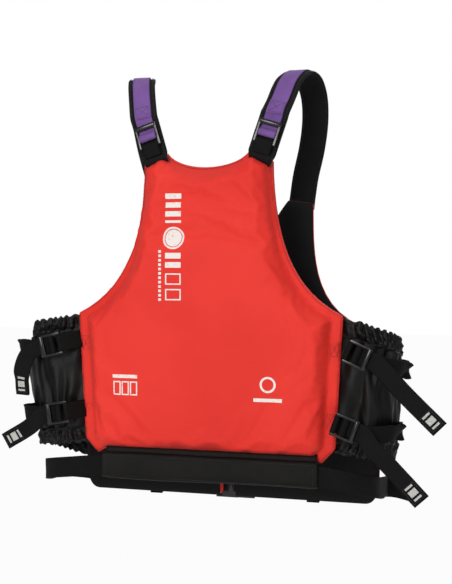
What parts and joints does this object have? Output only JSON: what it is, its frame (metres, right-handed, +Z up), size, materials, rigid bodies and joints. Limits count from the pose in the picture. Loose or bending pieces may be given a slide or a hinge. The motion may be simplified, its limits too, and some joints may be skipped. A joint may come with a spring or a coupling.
{
  "type": "life jacket",
  "caption": "Sleeveless foam buoyancy jacket with a front zip, adjustable shoulder and side straps, gathered sides and a waist belt with a side-release buckle.",
  "frame": {"origin": "centre plane, mid depth, level with the underside of the shoulder pads at their highest point, where the wearer's shoulders carry the jacket", "axes": "+Z up towards the collar, +Y towards the wearer's front, +X towards the wearer's right"},
  "size_m": [0.6457, 0.1972, 0.6623],
  "materials": {
    "red_nylon": "matt woven nylon, red",
    "black_nylon": "thin woven nylon with a slight sheen",
    "lining": "matt woven lining",
    "foam": "closed-cell buoyancy foam",
    "elastic": "gathered casing over woven elastic",
    "pad_fabric": "matt neoprene-backed pad fabric",
    "webbing": "ribbed woven nylon webbing",
    "purple_webbing": "ribbed woven nylon webbing, purple",
    "zip_tape": "woven zip tape with moulded teeth",
    "acetal": "moulded acetal, satin",
    "zip_metal": "black painted zinc"
  },
  "bodies": {
    "root": {"back_cover": "red_nylon", "back_foam": "foam", "back_lining": "lining", "front_cover_right": "red_nylon", "front_foam_right": "foam", "front_lining_right": "lining", "gusset_elastic_top_right": "elastic", "gusset_right": "black_nylon", "gusset_elastic_bottom_right": "elastic", "shoulder_pad_right": "pad_fabric", "shoulder_webbing_right": "purple_webbing", "shoulder_right_anchor": "webbing", "belt_keeper_right": "webbing", "zip_tape_right": "zip_tape", "side_upper_right_anchor": "webbing", "side_upper_right_strap": "webbing", "side_lower_right_anchor": "webbing", "side_lower_right_strap": "webbing", "front_cover_left": "red_nylon", "front_foam_left": "foam", "front_lining_left": "lining", "gusset_elastic_top_left": "elastic", "gusset_left": "black_nylon", "gusset_elastic_bottom_left": "elastic", "shoulder_pad_left": "pad_fabric", "shoulder_webbing_left": "purple_webbing", "shoulder_left_anchor": "webbing", "belt_keeper_left": "webbing", "zip_tape_left": "zip_tape", "side_upper_left_anchor": "webbing", "side_upper_left_strap": "webbing", "side_lower_left_anchor": "webbing", "side_lower_left_strap": "webbing", "waist_belt": "webbing", "belt_sleeve": "black_nylon", "buckle_female": "acetal"},
    "shoulder_right_lock": {"shoulder_right_lock": "acetal", "shoulder_right_turn": "purple_webbing"},
    "shoulder_left_lock": {"shoulder_left_lock": "acetal", "shoulder_left_turn": "purple_webbing"},
    "side_upper_right_lock": {"side_upper_right_lock": "acetal", "side_upper_right_turn": "webbing"},
    "side_upper_right_tail": {"side_upper_right_tail": "webbing"},
    "side_lower_right_lock": {"side_lower_right_lock": "acetal", "side_lower_right_turn": "webbing"},
    "side_lower_right_tail": {"side_lower_right_tail": "webbing"},
    "side_upper_left_lock": {"side_upper_left_lock": "acetal", "side_upper_left_turn": "webbing"},
    "side_upper_left_tail": {"side_upper_left_tail": "webbing"},
    "side_lower_left_lock": {"side_lower_left_lock": "acetal", "side_lower_left_turn": "webbing"},
    "side_lower_left_tail": {"side_lower_left_tail": "webbing"},
    "buckle_male": {"buckle_male": "acetal", "belt_front": "webbing"},
    "latch_arm_upper": {"latch_arm_upper": "acetal"},
    "latch_arm_lower": {"latch_arm_lower": "acetal"},
    "belt_tail": {"belt_tail": "webbing"},
    "zip_slider": {"zip_slider": "zip_metal"},
    "zip_pull": {"zip_pull": "zip_metal"}
  },
  "joints": [
    {"name": "shoulder_right_lock_tilt", "type": "hinge", "parent": "root", "child": "shoulder_right_lock", "pos_m": [0.08273, -0.08186, -0.10677], "axis": [0.9536, 0, -0.3011], "range_deg": [0, 45]},
    {"name": "shoulder_left_lock_tilt", "type": "hinge", "parent": "root", "child": "shoulder_left_lock", "pos_m": [-0.08273, -0.08186, -0.10677], "axis": [0.9536, 0, 0.3011], "range_deg": [0, 45]},
    {"name": "side_upper_right_lock_tilt", "type": "hinge", "parent": "root", "child": "side_upper_right_lock", "pos_m": [0.19904, -0.085, -0.394], "axis": [-0.3907, 0, -0.9205], "range_deg": [0, 45]},
    {"name": "side_upper_right_tail_pull", "type": "slide", "parent": "side_upper_right_lock", "child": "side_upper_right_tail", "axis": [0.9205, 0, -0.3907], "range_m": [0, 0.04]},
    {"name": "side_lower_right_lock_tilt", "type": "hinge", "parent": "root", "child": "side_lower_right_lock", "pos_m": [0.18214, -0.085, -0.495], "axis": [-0.3256, 0, -0.9455], "range_deg": [0, 45]},
    {"name": "side_lower_right_tail_pull", "type": "slide", "parent": "side_lower_right_lock", "child": "side_lower_right_tail", "axis": [0.9455, 0, -0.3256], "range_m": [0, 0.04]},
    {"name": "side_upper_left_lock_tilt", "type": "hinge", "parent": "root", "child": "side_upper_left_lock", "pos_m": [-0.22215, -0.085, -0.392], "axis": [-0.225, 0, 0.9744], "range_deg": [0, 45]},
    {"name": "side_upper_left_tail_pull", "type": "slide", "parent": "side_upper_left_lock", "child": "side_upper_left_tail", "axis": [-0.9744, 0, -0.225], "range_m": [0, 0.04]},
    {"name": "side_lower_left_lock_tilt", "type": "hinge", "parent": "root", "child": "side_lower_left_lock", "pos_m": [-0.21225, -0.085, -0.493], "axis": [-0.1564, 0, 0.9877], "range_deg": [0, 45]},
    {"name": "side_lower_left_tail_pull", "type": "slide", "parent": "side_lower_left_lock", "child": "side_lower_left_tail", "axis": [-0.9877, 0, -0.1564], "range_m": [0, 0.04]},
    {"name": "waist_buckle_release", "type": "slide", "parent": "root", "child": "buckle_male", "axis": [1, 0, 0], "range_m": [0, 0.04]},
    {"name": "latch_arm_upper_squeeze", "type": "hinge", "parent": "buckle_male", "child": "latch_arm_upper", "pos_m": [0.0077, 0.0979, -0.626], "axis": [0, -1, 0], "range_deg": [0, 8], "stiffness_Nm_per_rad": 0.05},
    {"name": "latch_arm_lower_squeeze", "type": "hinge", "parent": "buckle_male", "child": "latch_arm_lower", "pos_m": [0.0077, 0.0979, -0.646], "axis": [0, 1, 0], "range_deg": [0, 8], "stiffness_Nm_per_rad": 0.05},
    {"name": "belt_tail_pull", "type": "slide", "parent": "buckle_male", "child": "belt_tail", "axis": [1, 0, 0], "range_m": [0, 0.04]},
    {"name": "zip_slider_travel", "type": "slide", "parent": "root", "child": "zip_slider", "axis": [0, 0, 1], "range_m": [-0.335, 0]},
    {"name": "zip_pull_swing", "type": "hinge", "parent": "zip_slider", "child": "zip_pull", "pos_m": [0, 0.0824, -0.2895], "axis": [1, 0, 0], "range_deg": [0, 150]}
  ]
}
